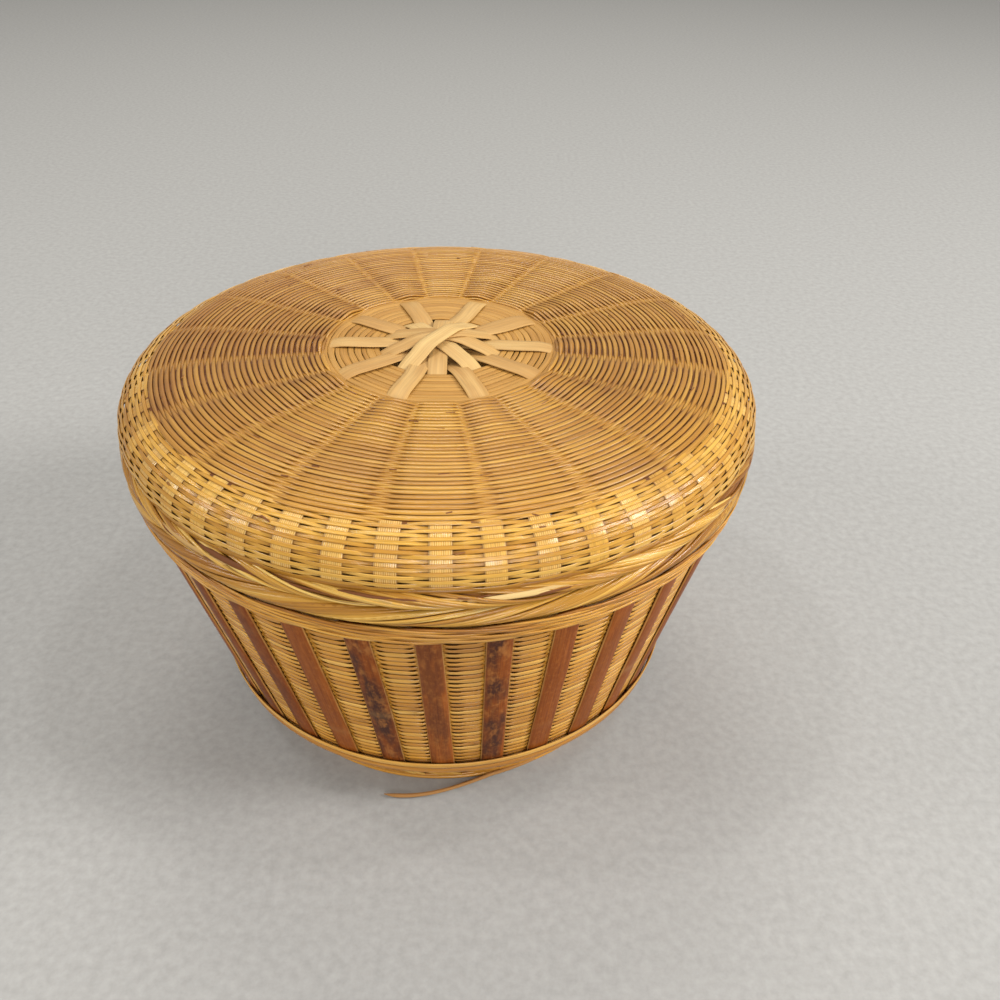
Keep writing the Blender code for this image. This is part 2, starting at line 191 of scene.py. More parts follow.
CRISP_ANGLE = 22 * DEGREE


class Weave:
    """Strands gathered into one mesh, whose corners keep their strand's tone and their place on it."""

    def __init__(self):
        self.corners, self.faces, self.maps = [], [], []
        self.values = {}
        self.count = 0

    def add(
        self, middle, outward, width, thickness, tone, closed=False, section=FLAT, stain=0.0, hatch=0.0
    ):
        """One strand of the given cross-section, along a middle line whose broad side faces outward.

        A darkening lies on the outer side and fades out over the edges: real stain, and painted shade where
        the caller puts it.
        """
        stations = len(middle)
        sides = len(section)
        if closed:
            ahead = np.roll(middle, -1, axis=0) - np.roll(middle, 1, axis=0)
        else:
            ahead = np.gradient(middle, axis=0)
        ahead = unit(ahead)
        across = unit(np.cross(ahead, outward))
        up = np.cross(across, ahead)
        width, thickness, stain, hatch = (
            np.broadcast_to(value, stations)[:, None] for value in (width, thickness, stain, hatch)
        )
        corners = (
            middle[:, None]
            + across[:, None] * (width / 2 * section[:, 0])[..., None]
            + up[:, None] * (thickness / 2 * section[:, 1])[..., None]
        )
        joins = stations if closed else stations - 1
        i, j = np.meshgrid(np.arange(joins), np.arange(sides), indexing="ij")
        here = i * sides
        after = (i + 1) % stations * sides
        beside = (j + 1) % sides
        quads = np.stack([here + j, after + j, after + beside, here + beside], axis=-1)
        u = np.stack([i, i + 1, i + 1, i], axis=-1) / joins
        v = (np.stack([j, j, j + 1, j + 1], axis=-1) + 0.5) / (sides + 1)
        faces = [quads.reshape(-1, 4)]
        maps = [np.stack([u, v], axis=-1).reshape(-1, 4, 2)]
        if not closed:
            k = np.arange(sides // 2 - 1)
            cap = np.stack([k, k + 1, sides - 2 - k, sides - 1 - k], axis=-1)
            spread = np.stack([cap / sides * 0.01, cap / sides], axis=-1)
            faces += [cap, (stations - 1) * sides + cap[:, ::-1]]
            maps += [spread, spread[:, ::-1] + (0.99, 0)]
        values = {
            "tone": tone,
            "along": run_along(middle)[:, None],
            "across": section[:, 0],
            "stain": stain * np.clip(0.6 + 0.6 * section[:, 1], 0, 1),
            "hatch": hatch,
        }
        for name, value in values.items():
            self.values.setdefault(name, []).append(np.broadcast_to(value, (stations, sides)).ravel())
        self.corners.append(corners.reshape(-1, 3))
        self.faces.append(np.concatenate(faces) + self.count)
        self.maps.append(np.concatenate(maps))
        self.count += stations * sides

    def lay(self, radius, angles, height, out_radius, out_height, width, thickness, tone, **settings):
        """A strand round the axis, whose broad side faces by the two shares outward and upward."""
        middle = around(radius, angles, height)
        self.add(middle, around(out_radius, angles, out_height), width, thickness, tone, **settings)

    def follow(self, place, angles, offset, width, thickness, tone, **settings):
        """A strand that lies off a surface. Place is what the surface's outline reads along it."""
        radius, height, out_radius, out_height = place
        self.lay(
            radius + out_radius * offset, angles, height + out_height * offset, out_radius, out_height,
            width, thickness, tone, **settings,
        )

    def encircle(
        self, radius, height, outward, width, thickness, tone, stain=0.0, section=ROUND, stations=180
    ):
        """A strand that closes on itself round the axis. Outward holds its radial and upward share."""
        turn = np.linspace(0, math.tau, stations, endpoint=False)
        settings = {"closed": True, "stain": stain, "section": section}
        self.lay(radius, turn, height, *outward, width, thickness, tone, **settings)

    def build(self, name, body, finish, slot, *replaced, crisp=False):
        """The mesh as a piece that rides on a body and stands for nodes. Each strand is a row of its map."""
        corners = np.concatenate(self.corners)
        faces = np.concatenate(self.faces)
        rows = len(self.maps)
        maps = np.concatenate([(part + (0, row)) / (1, rows) for row, part in enumerate(self.maps)])
        mesh = bpy.data.meshes.new(name)
        mesh.vertices.add(len(corners))
        mesh.vertices.foreach_set("co", corners.ravel())
        mesh.loops.add(faces.size)
        mesh.loops.foreach_set("vertex_index", faces.ravel())
        mesh.polygons.add(len(faces))
        mesh.polygons.foreach_set("loop_start", np.arange(0, faces.size, 4))
        mesh.update(calc_edges=True)
        mesh.uv_layers.new(name="OFBake").data.foreach_set("uv", maps.ravel())
        for attribute, values in self.values.items():
            layer = mesh.attributes.new(attribute, "FLOAT", "POINT")
            layer.data.foreach_set("value", np.concatenate(values))
        mesh.shade_smooth()
        if crisp:
            mesh.set_sharp_from_angle(angle=CRISP_ANGLE)
        mesh.materials.append(finish)
        piece = bpy.data.objects.new(name, mesh)
        bpy.context.collection.objects.link(piece)
        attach(piece, body)
        if replaced:
            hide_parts(*replaced)


def begin_part(seed):
    """Random draws of its own for one part of the basket, and an empty weave."""
    return np.random.default_rng(seed), Weave()


# Finishes

class Look:
    """A material and its nodes. Most of its methods add a node and give what comes out of it."""

    def __init__(self, name):
        self.material = bpy.data.materials.new(name)
        self.material.use_nodes = True
        self.tree = self.material.node_tree
        self.shader = self.tree.nodes["Principled BSDF"]

    def node(self, kind, **settings):
        node = self.tree.nodes.new(kind)
        for name, value in settings.items():
            setattr(node, name, value)
        return node

    def join(self, socket, value):
        """Joins an input to an output, or sets it to a number or a colour."""
        if isinstance(value, bpy.types.NodeSocket):
            self.tree.links.new(value, socket)
        elif isinstance(value, tuple):
            socket.default_value = (*value, 1)
        else:
            socket.default_value = value

    def feed(self, node, **values):
        for name, value in values.items():
            self.join(node.inputs[name.replace("_", " ")], value)

    def attribute(self, name):
        return self.node("ShaderNodeAttribute", attribute_name=name).outputs["Fac"]

    def place(self):
        return self.node("ShaderNodeTexCoord").outputs["Object"]

    def calculate(self, operation, *values, clamp=False):
        node = self.node("ShaderNodeMath", operation=operation, use_clamp=clamp)
        for socket, value in zip(node.inputs, values):
            self.join(socket, value)
        return node.outputs[0]

    def product(self, first, second, plus=0.0, clamp=False):
        return self.calculate("MULTIPLY_ADD", first, second, plus, clamp=clamp)

    def above(self, value, threshold, steepness):
        """0 up to the threshold, and then a rise to 1."""
        return self.product(self.calculate("SUBTRACT", value, threshold), steepness, clamp=True)

    def mixed(self, share, first, second, blend="MIX"):
        node = self.node("ShaderNodeMix", data_type="RGBA", blend_type=blend)
        self.feed(node, Factor=share, A=first, B=second)
        return node.outputs["Result"]

    def ramp(self, value, *stops):
        node = self.node("ShaderNodeValToRGB")
        elements = node.color_ramp.elements
        while len(elements) < len(stops):
            elements.new(0.5)
        for element, (position, colour) in zip(elements, stops):
            element.position = position
            element.color = (*colour, 1)
        self.feed(node, Fac=value)
        return node.outputs["Color"]

    def mask(self, value, low, high):
        return self.ramp(value, (low, (0, 0, 0)), (high, (1, 1, 1)))

    def noise(self, place, scale, detail, roughness=0.6):
        node = self.node("ShaderNodeTexNoise")
        self.feed(node, Vector=place, Scale=scale, Detail=detail, Roughness=roughness)
        return node.outputs["Fac"]

    def grain(self, strand, along, across, detail, roughness=0.6):
        """Noise that differs from strand to strand, told by how often it varies along and across one."""
        node = self.node("ShaderNodeCombineXYZ")
        lengthwise = self.product(self.attribute("along"), along)
        self.feed(node, X=lengthwise, Y=self.product(self.attribute("across"), across), Z=strand)
        return self.noise(node.outputs[0], 1.0, detail, roughness)

    def surface(self, colour, roughness, shine):
        self.feed(self.shader, Base_Color=colour, Roughness=roughness, Specular_IOR_Level=shine)
        return self.material

    def relief(self, height, strength, distance):
        node = self.node("ShaderNodeBump")
        self.feed(node, Strength=strength, Distance=distance, Height=height)
        self.feed(self.shader, Normal=node.outputs["Normal"])


SHADE_AND_STAIN_BROWN = (0.14, 0.038, 0.001)
STAIN_TAN = (0.30, 0.13, 0.04)
RIB_STRAW = (0.95, 0.70, 0.30)
BARK_PURPLE = (0.048, 0.015, 0.009)
BARK_FLECKS = (0.36, 0.14, 0.035)
BARK_LIGHT_FLECKS = (0.42, 0.150, 0.032)
BARK_WORN = (0.42, 0.24, 0.09)
BARK_EDGE = (0.50, 0.27, 0.075)


def bamboo(name, stain_and_shade_colour, roughness, shine, *stops, streaks=0.35, fibres=4.0, edge_shade=0.0):
    """Split bamboo: a tone for each strand, fibres, stains and painted shade, fine ribs along some and a
    satin surface.

    Streaks is how dark the fibres are, and the last setting is how dark the strand's two edges are painted,
    as shade where neighbouring strands meet.
    """
    look = Look(name)
    tone = look.attribute("tone")
    across = look.attribute("across")
    strand = look.product(tone, 91.0)
    fibre = look.grain(strand, along=50.0, across=fibres, detail=4.0)
    patch = look.grain(strand, along=30.0, across=1.0, detail=2.0)
    cloud = look.noise(look.place(), 14.0, detail=3.0)

    shade = look.calculate("ADD", tone, look.product(patch, 0.5, -0.25))
    dark_fibre = look.ramp(fibre, (0.3, (1 - streaks,) * 3), (0.62, (1, 1, 1)))
    colour = look.mixed(1.0, look.ramp(shade, *stops), dark_fibre, "MULTIPLY")
    blotch = look.above(cloud, 0.53, 2.1)
    # The stain colour is mixed in by real stains and blotches and by painted shade: dips, shaded sides,
    # shadow strands and the strand's two edges.
    stain_and_shade_mask = look.calculate("ADD", look.attribute("stain"), blotch, clamp=True)
    # Painted shade along the strand's two edges, where it meets its neighbours.
    edge = look.above(look.calculate("ABSOLUTE", across), 0.84, edge_shade * 6.0)
    stain_and_shade_mask = look.calculate("ADD", stain_and_shade_mask, edge, clamp=True)
    colour = look.mixed(stain_and_shade_mask, colour, stain_and_shade_colour)
    ribbing = look.calculate("SINE", look.product(across, math.tau * 5.3))
    ribbing = look.product(look.product(ribbing, 0.5, 0.5), look.attribute("hatch"))
    colour = look.mixed(look.product(ribbing, 0.45), colour, RIB_STRAW)

    gloss = look.product(fibre, 0.22, roughness - 0.11)
    gloss = look.product(stain_and_shade_mask, 0.45, gloss, clamp=True)
    height = look.calculate("SUBTRACT", fibre, look.product(ribbing, 0.5))
    look.relief(height, strength=0.35, distance=0.25 * MM)
    return look.surface(colour, gloss, shine)


weft_finish = bamboo(
    "straw_weft", SHADE_AND_STAIN_BROWN, 0.20, 0.45,
    (0.0, (0.29, 0.110, 0.012)), (0.4, (0.465, 0.213, 0.026)),
    (0.75, (0.62, 0.330, 0.050)), (1.0, (0.77, 0.50, 0.13)),
    edge_shade=0.8,
)
base_weft_finish = bamboo(
    "straw_weft_base", SHADE_AND_STAIN_BROWN, 0.25, 0.4,
    (0.0, (0.30, 0.105, 0.012)), (0.4, (0.49, 0.205, 0.024)),
    (0.75, (0.66, 0.320, 0.046)), (1.0, (0.80, 0.49, 0.12)),
    edge_shade=0.6,
)
hub_finish = bamboo(
    "hub_weft", SHADE_AND_STAIN_BROWN, 0.5, 0.3,
    (0.0, (0.30, 0.13, 0.022)), (0.5, (0.45, 0.22, 0.042)), (1.0, (0.56, 0.30, 0.07)),
)
pale_finish = bamboo(
    "pale_strip", STAIN_TAN, 0.5, 0.3,
    (0.0, (0.34, 0.165, 0.040)), (0.5, (0.47, 0.255, 0.072)), (1.0, (0.70, 0.48, 0.19)),
    streaks=0.25, fibres=7.0,
)


def slat_bark():
    """The dark skin side of bamboo: reddish to purple brown, with mottled stains, and a soft gloss."""
    look = Look("dark_slat")
    tone = look.attribute("tone")
    mottle = look.attribute("stain")
    strand = look.product(tone, 57.0)
    fibre = look.grain(strand, along=45.0, across=9.0, detail=4.0)
    cloud = look.grain(strand, along=130.0, across=1.1, detail=5.0, roughness=0.65)
    large = look.grain(strand, along=38.0, across=0.6, detail=2.0)
    fleck = look.grain(strand, along=420.0, across=3.4, detail=4.0, roughness=0.7)
    colour = look.ramp(
        look.product(fibre, 1.1, look.product(tone, 0.7, -0.38)),
        (0.0, (0.100, 0.021, 0.004)), (0.45, (0.200, 0.048, 0.006)), (1.0, (0.36, 0.105, 0.016)),
    )
    purple = look.product(look.mask(large, 0.40, 0.56), mottle)
    colour = look.mixed(purple, colour, BARK_PURPLE)
    flecks = look.product(look.mask(cloud, 0.52, 0.66), look.product(mottle, 0.7))
    colour = look.mixed(flecks, colour, BARK_FLECKS)
    light_flecks = look.product(look.mask(fleck, 0.50, 0.70), 0.32)
    colour = look.mixed(light_flecks, colour, BARK_LIGHT_FLECKS)
    colour = look.mixed(look.attribute("hatch"), colour, BARK_WORN)
    edge = look.above(look.calculate("ABSOLUTE", look.attribute("across")), 0.90, 18.0)
    edge = look.product(edge, look.product(large, 1.6, -0.3), clamp=True)
    colour = look.mixed(edge, colour, BARK_EDGE)
    look.relief(fibre, strength=0.3, distance=0.2 * MM)
    return look.surface(colour, look.product(cloud, 0.3, 0.25), shine=0.09)


slat_finish = slat_bark()


# Woven rows

class Zone(NamedTuple):
    """How one stretch of surface is woven.

    Bias shifts the crossings away from the floats of the odd rows. Dark gives how deep a row has dipped
    under a rib where its darkening, dirt and painted shade in the recess, begins and where it is full, and
    dive is the share of its width that it loses there.
    """

    ribs: int
    stations: int
    first: float
    pitch: float
    depth: float
    swing: float
    float_width: float
    cross_width: float
    thickness: float
    sharpness: float
    flat_from: float
    flat_to: float
    bias: float = 0.0
    dark: tuple = (0.0, 0.8)
    dive: float = 0.0
    section: np.ndarray = FLAT

    def rib_angles(self):
        return self.first + math.tau * np.arange(self.ribs) / self.ribs


CROWDING = 0.35


def nothing(*places):
    return 0.0 * places[0]


def weave_rows(
    weave, outline, start, rows, zone, rng, tones, first_row=0, lean=nothing, lift=nothing, stain=nothing,
    slack=nothing, shift=nothing,
):
    """Rings of weft along an outline, each over the ribs that the last went under.

    Slack narrows the floats by a share, and shift moves their wide middle along, in radians of the wave.
    """
    stations_round = zone.ribs * zone.stations
    station = np.arange(stations_round + zone.stations // 2)
    last = len(station) - 1
    ends = smooth(station, 3, 0) + smooth(station, last - 3, last)
    for row in range(first_row, first_row + rows):
        distance = start + zone.pitch * row
        row_lean = lean(outline.read(distance)[1])
        splice = rng.integers(zone.ribs) / zone.ribs
        wave = zone.ribs * math.pi * (station / stations_round + splice)
        wave = wave + CROWDING * np.sin(2 * wave)
        angles = zone.first + row_lean + 2 * wave / zone.ribs
        sway = ripple(angles, rng, 0.09 * zone.pitch, turns=(1, 2, 3, 5, 9, 14))
        place = outline.read(np.clip(distance + sway, 0, outline.length))
        radius, height = place[:2]
        angles = angles + lean(height) - row_lean
        odd = row % 2
        phase = wave + math.pi * odd
        bias = zone.bias if odd else -zone.bias
        swing = np.cos(phase) + bias
        over = np.clip(np.tanh(zone.sharpness * swing) / math.tanh(zone.sharpness), -1, 1)
        offset = zone.swing * over - zone.depth + lift(radius, angles) - 0.2 * MM * ends
        wide = np.abs(np.cos(phase - shift(radius, angles)) + bias)
        flatness = smooth(wide, zone.flat_from, zone.flat_to)
        plump = rng.uniform(0.95, 1.02) * (1 - slack(radius, angles) * rng.uniform(0.4, 1.2))
        width = zone.cross_width + (zone.float_width * plump - zone.cross_width) * flatness
        rib = np.round(wave / math.pi).astype(int) % zone.ribs
        # Painted dark where the row dips under a rib, partly as dirt and partly as shade in the recess;
        # darker too at its two sunk ends.
        dip = smooth(-over, *zone.dark) * rng.uniform(0.35, 1, zone.ribs)[rib]
        width = width * (1 - zone.dive * dip)
        width = width * (1 + ripple(angles, rng, 0.04, turns=(4, 7, 11, 19)))
        weave.follow(
            place, angles, offset, width, zone.thickness, rng.uniform(*tones), section=zone.section,
            stain=np.clip(0.95 * dip + 0.5 * ends + stain(radius, angles), 0, 1),
        )


def stakes(
    weave, outline, start, end, angles, depth, width, thickness, rng,
    lean=nothing, points=14, tone=0.35, stain=0.55, hatch=0.0,
):
    """Flat stakes that run along an outline, inside the weft."""
    place = outline.read(np.linspace(start, end, points))
    for angle in angles:
        turned = angle + lean(place[1])
        shade = rng.uniform(tone - 0.15, tone + 0.15)
        ribbing = hatch * rng.uniform(0.1, 1)
        weave.follow(place, turned, -depth, width, thickness, shade, stain=stain, hatch=ribbing)


# The wall

def wall_radius(height):
    return wall_radius_top - wall_slope * (wall_top - height)


def lean_of_wall(height):
    return SLAT_LEAN * (wall_top - height) / (wall_top - wall_bottom)


def wall_outline():
    """From the top of the wall down its outside, round its lower edge and in over the foot."""
    points = []
    for share in np.linspace(0, 1, 40):
        height = wall_top - (wall_top - wall_bottom - wall_turn) * share
        points.append((wall_radius(height), height))
    reach = 2.6 * MM
    corner = wall_radius_bottom - reach
    for share in np.linspace(0.1, 1, 10):
        swing = math.pi / 2 * share
        height = wall_bottom + wall_turn - wall_turn * math.sin(swing)
        points.append((corner + reach * math.cos(swing), height))
    points.append((flange_radius, wall_bottom))
    return Outline(points)


WALL_ZONE = Zone(
    ribs=2 * SLATS, stations=6, first=SLAT_FIRST, pitch=1.45 * MM, depth=1.0 * MM, swing=0.7 * MM,
    float_width=2.72 * MM, cross_width=1.75 * MM, thickness=0.55 * MM, sharpness=1.8, flat_from=0.66,
    flat_to=0.84, bias=0.32,
)
WALL_PARTS = 3


def gap_shift(radius, angles):
    """Between two slats the wide part of the floats lies nearer to one of them."""
    gaps = np.floor((angles - SLAT_FIRST) / (math.tau / SLATS)).astype(int) % SLATS
    shifts = np.random.default_rng(seed=5).uniform(-0.35, 0.35, SLATS)
    shifts[0] = 0.55
    shifts[SLATS - 1] = 0.1
    return shifts[gaps]


def make_wall():
    outline = wall_outline()
    rng = np.random.default_rng(seed=11)
    start = 0.8 * MM
    all_rows = round((outline.length - 1.4 * MM - start) / WALL_ZONE.pitch) + 1
    for part in range(WALL_PARTS):
        weave = Weave()
        first_row = all_rows * part // WALL_PARTS
        rows = all_rows * (part + 1) // WALL_PARTS - first_row
        weave_rows(
            weave, outline, start, rows, WALL_ZONE, rng, tones=(0.4, 0.85), first_row=first_row,
            lean=lean_of_wall, shift=gap_shift,
        )
        if part == 0:
            stakes(
                weave, outline, 0, outline.length - 4 * MM, WALL_ZONE.rib_angles(), depth=1.15 * MM,
                width=4.2 * MM, thickness=0.8 * MM, rng=rng, lean=lean_of_wall, points=16,
            )
        replaced = ["base_wall_weave"] if part == 0 else []
        weave.build(f"wall_weft_{part + 1}", "base", base_weft_finish, "straw_weft", *replaced)


# Dark slats, from the front towards +X: how light each is, how mottled and where it has a node line

FRONT_SLATS = {
    -4: (0.30, 0.30, 0.30),
    -3: (0.28, 0.35, 0.75),
    -2: (0.62, 0.15, 0.20),
    -1: (0.25, 1.00, 0.42),
    0: (0.62, 0.55, 0.64),
    1: (0.40, 0.95, 0.50),
    2: (0.48, 0.12, 0.25),
    3: (0.58, 0.20, 0.70),
    4: (0.60, 0.20, 0.35),
}


def make_slats():
    """The slats of the front as told above, and the others by chance."""
    rng = np.random.default_rng(seed=23)
    share = np.linspace(0, 1, 30)
    height = slat_bottom + (slat_top - slat_bottom) * share
    centre = wall_radius(height) + CLEAR + (SLAT_THICKNESS - SLAT_SINK) / 2
    tilt = math.atan(wall_slope)
    for i in range(SLATS):
        order = i if i < SLATS / 2 else i - SLATS
        chance = (rng.uniform(0.25, 0.75), rng.uniform(0.1, 0.8), rng.uniform(0.2, 0.8))
        tone, mottle, node = FRONT_SLATS.get(order, chance)
        turned = SLAT_FIRST + math.tau * i / SLATS + lean_of_wall(height)
        groove = bell(share - node + 0.022, 0.010)
        knot = bell(share - node, 0.012) - 0.8 * groove
        thickness = SLAT_THICKNESS * (1 + 0.30 * knot) + SLAT_SINK
        bow = 0.10 * MM * np.sin(math.pi * share * rng.uniform(1, 2.5) + rng.uniform(0, 6))
        middle = around(centre, turned, height) + around(1, turned + math.pi / 2, 0) * bow[:, None]
        outward = around(math.cos(tilt), turned, -math.sin(tilt))
        uneven = 0.015 * np.sin(share * rng.uniform(5, 14) + rng.uniform(0, 6))
        width = SLAT_WIDTH * (0.985 + uneven + 0.015 * knot)
        worn = 0.55 * bell(share - node, 0.006)
        weave = Weave()
        weave.add(middle, outward, width, thickness, tone, section=CROWN, stain=mottle, hatch=worn)
        weave.build(f"slat_{i + 1:02d}", "base", slat_finish, "dark_slat", f"dark_slat_{i + 1:02d}")


# Rolled borders

BUNDLE_STRANDS = 5
BORDER_THICKNESS = 1.0 * MM
CORE_STRANDS = 8


def rolled(weave, rng, ring, bundles, reach, direction, widths, tones, spread):
    """Bundles of strands that each wind once round a border's core as they run on to the right.

    Direction is 1 where they rise on the outside and -1 where they fall.
    """
    half_width = ring.half_width - 0.1 * MM
    half_height = ring.half_height - 0.1 * MM
    share = np.linspace(0, 1, 34)
    swell = np.sin(math.pi * share) ** 0.7
    for i in range(bundles):
        begin = math.tau * (i + rng.uniform(-0.25, 0.25)) / bundles
        bundle_lift = rng.uniform(-0.15, 0.2) * MM
        bundle_reach = reach * rng.uniform(0.85, 1.2)
        bundle_tone = rng.uniform(*tones)
        for j in range(BUNDLE_STRANDS):
            wander = 0.10 * np.sin(math.tau * share * rng.uniform(0.5, 1.5) + rng.uniform(0, math.tau))
            angles = begin + bundle_reach * share + rng.normal(0, 0.6) * DEGREE
            lag = (j - (BUNDLE_STRANDS - 1) / 2) * spread
            swing = direction * (math.tau * (share - 0.5) - lag + wander)
            slack = (bundle_lift + rng.uniform(-0.15, 0.12) * MM) * swell - 0.5 * MM * (1 - swell)
            radius = ring.radius + (half_width - BORDER_THICKNESS / 2 + slack) * np.cos(swing)
            height = ring.height + (half_height - BORDER_THICKNESS / 2 + slack) * np.sin(swing)
            width = rng.uniform(*widths) * (0.72 + 0.28 * swell)
            tone = np.clip(bundle_tone + rng.uniform(-0.33, 0.33), 0, 1)
            # Each strand is painted darker towards its ends, as shade where it dives under the others.
            weave.lay(
                radius, angles, height, np.cos(swing) / half_width, np.sin(swing) / half_height,
                width, BORDER_THICKNESS, tone, stain=0.22 * (1 - swell),
            )


def fill_core(weave, ring, inset_width, inset_height):
    """The bundle of stakes and filling inside a border."""
    for swing in math.tau * np.arange(CORE_STRANDS) / CORE_STRANDS:
        out, up = math.cos(swing), math.sin(swing)
        radius = ring.radius + (ring.half_width - inset_width) * out
        height = ring.height + (ring.half_height - inset_height) * up
        weave.encircle(radius, height, (out, up), 3.6 * MM, 1.6 * MM, tone=0.1, stain=0.55)


def make_lid_border():
    rng, weave = begin_part(seed=31)
    fill_core(weave, border, 2.1 * MM, 2.3 * MM)
    height = border.top + 0.1 * MM
    weave.encircle(border.radius, height, (1, 0), 2.2 * MM, 2.0 * MM, tone=0.3, stain=0.3)
    rolled(
        weave, rng, border, bundles=28, reach=46 * DEGREE, direction=-1, widths=(0.9 * MM, 1.9 * MM),
        tones=(0.35, 0.85), spread=0.37,
    )
    weave.build("lid_border_plait", "lid", weft_finish, "straw_weft", "lid_border")


# Strays in the lid's border, seen from the front: start and end angle, start and end height as a share
# of the border's, how far the middle stands out, width and tone. The dark strands painted as shadow in its
# openings are told in the same way, without a tone.

PALE_STRAYS = (
    (7.0, 24.0, 0.62, 0.80, 0.2, 2.1, 1.0),
    (11.0, 30.0, 0.72, 0.90, 0.1, 1.3, 0.8),
    (-9.0, -4.0, 0.62, 0.42, 0.5, 1.1, 0.9),
    (-7.0, -1.5, 0.75, 0.55, 0.6, 0.7, 0.7),
    (-3.0, 3.0, 0.80, 0.66, 0.5, 0.8, 0.75),
    (0.5, 6.5, 0.62, 0.74, 0.5, 0.6, 0.9),
    (2.0, 8.0, 0.86, 0.72, 0.4, 0.7, 0.6),
    (-47.0, -30.0, 0.70, 0.55, 0.9, 1.7, 0.6),
    (-60.0, -55.5, 0.45, 0.75, 0.6, 1.2, 0.5),
)
CHANCE_SHADOW_STRANDS = 14
SHADOW_STRANDS = (
    (-36.0, -21.5, 0.93, 0.78, 0.9, 2.1),
    (-56.0, -49.0, 0.75, 0.55, 0.7, 1.2),
    (-47.0, -40.0, 0.62, 0.46, 0.7, 1.1),
    (-36.0, -31.0, 0.45, 0.36, 0.7, 0.9),
    (-12.0, -3.0, 0.93, 0.86, 0.7, 1.1),
    (-5.0, 3.5, 0.84, 0.72, 0.7, 0.8),
    (4.0, 10.0, 0.80, 0.92, 0.7, 0.8),
    (-20.0, -14.0, 0.80, 0.66, 0.7, 0.9),
    (15.0, 24.0, 0.52, 0.66, 0.7, 0.9),
    (38.0, 44.0, 0.46, 0.62, 0.7, 1.0),
    (52.0, 60.0, 0.40, 0.58, 0.7, 1.1),
    (66.0, 74.0, 0.62, 0.80, 0.7, 1.2),
)


def strand_on_border(weave, rng, begin, end, low, high, stand, width, tone, stain=0.0):
    """A loose strand on the lid's border, its ends tucked in; dark and fully stained, it is painted shadow
    in an opening.
    """
    sink = 0.7 * MM
    share = np.linspace(0, 1, 24)
    swell = np.sin(math.pi * share)
    angles = (begin + (end - begin) * share) * DEGREE
    level = low + (high - low) * share + 0.04 * np.sin(math.pi * share * rng.uniform(1, 2))
    rise = (2 * level - 1) * (border.half_height - sink)
    up = rise / border.half_height
    bulge = np.sqrt(np.clip(1 - up ** 2, 0.05, 1))
    radius = border.radius + (border.half_width - sink) * bulge
    radius = radius + (stand * swell - 0.5 * (1 - swell)) * 0.5 * MM
    taper = width * MM * (0.3 + 0.7 * swell ** 0.5)
    weave.lay(radius, angles, border.height + rise, bulge, up, taper, 0.5 * MM, tone, stain=stain)


def make_border_strays():
    """Pale and frayed strands that lie loose on the lid's border, and dark strands laid on it as painted
    shadow in its openings.
    """
    rng, weave = begin_part(seed=97)
    for stray in PALE_STRAYS:
        strand_on_border(weave, rng, *stray)
    weave.build("lid_border_strays", "lid", pale_finish, "pale_strip")
    weave = Weave()
    # Dark strands painted as shadow in the border's openings, first those listed, then some by chance.
    for shadow_strand in SHADOW_STRANDS:
        strand_on_border(weave, rng, *shadow_strand, tone=0.0, stain=1.0)
    for _ in range(CHANCE_SHADOW_STRANDS):
        begin = rng.uniform(85, 265)
        low = rng.uniform(0.3, 0.8)
        end = begin + rng.uniform(5, 10)
        width = rng.uniform(0.8, 1.2)
        strand_on_border(weave, rng, begin, end, low, low + 0.15, 0.7, width, tone=0.0, stain=1.0)
    weave.build("lid_border_shadow_strands", "lid", weft_finish, "straw_weft")


def make_rim_border():
    rng, weave = begin_part(seed=37)
    fill_core(weave, rim, 1.9 * MM, 1.9 * MM)
    rolled(
        weave, rng, rim, bundles=24, reach=58 * DEGREE, direction=1, widths=(1.3 * MM, 2.3 * MM),
        tones=(0.35, 0.8), spread=0.38,
    )
    weave.build("rim_border_roll", "base", weft_finish, "straw_weft", "base_rim_border")


def seat_on_slats(height):
    """The radius just outside the slats' crowns."""
    return wall_radius(height) + 2 * CLEAR + SLAT_THICKNESS


BAND_ROWS = 4
BAND_WIDTH = 1.42 * MM
BAND_THICKNESS = 0.75 * MM
HOOP_THICKNESS = 0.95 * MM


def make_band():
    """Rows of twining: each row is two strands that pass over each other between the slats."""
    rng, weave = begin_part(seed=41)
    turn = np.linspace(0, math.tau + 2 * DEGREE, 400)
    row_height = (band.top - band.bottom) / BAND_ROWS
    for row in range(BAND_ROWS):
        slant = ripple(np.zeros(1), rng, 1.0)[0]
        for strand in range(2):
            angles = rng.uniform(0, math.tau) + turn
            twist = SLATS / 2 * angles + strand * math.pi + row * 1.9 + slant + ripple(angles, rng, 0.7)
            height = band.bottom + row_height * (row + 0.5) + 0.27 * row_height * np.cos(twist)
            height = height + ripple(angles, rng, 0.10 * MM)
            radius = seat_on_slats(height) + 0.55 * MM + 0.33 * MM * np.sin(twist)
            width = BAND_WIDTH * (1 + ripple(angles, rng, 0.10)) * rng.uniform(0.9, 1.08)
            # Darker where the strand passes behind the other, as dirt and painted shade.
            stain = 0.55 * smooth(-np.sin(twist), 0, 1)
            tone = rng.uniform(0.2, 0.9)
            weave.lay(radius, angles, height, 1, -wall_slope, width, BAND_THICKNESS, tone, stain=stain)
    weave.build("band_twining", "base", base_weft_finish, "straw_weft", "upper_band")


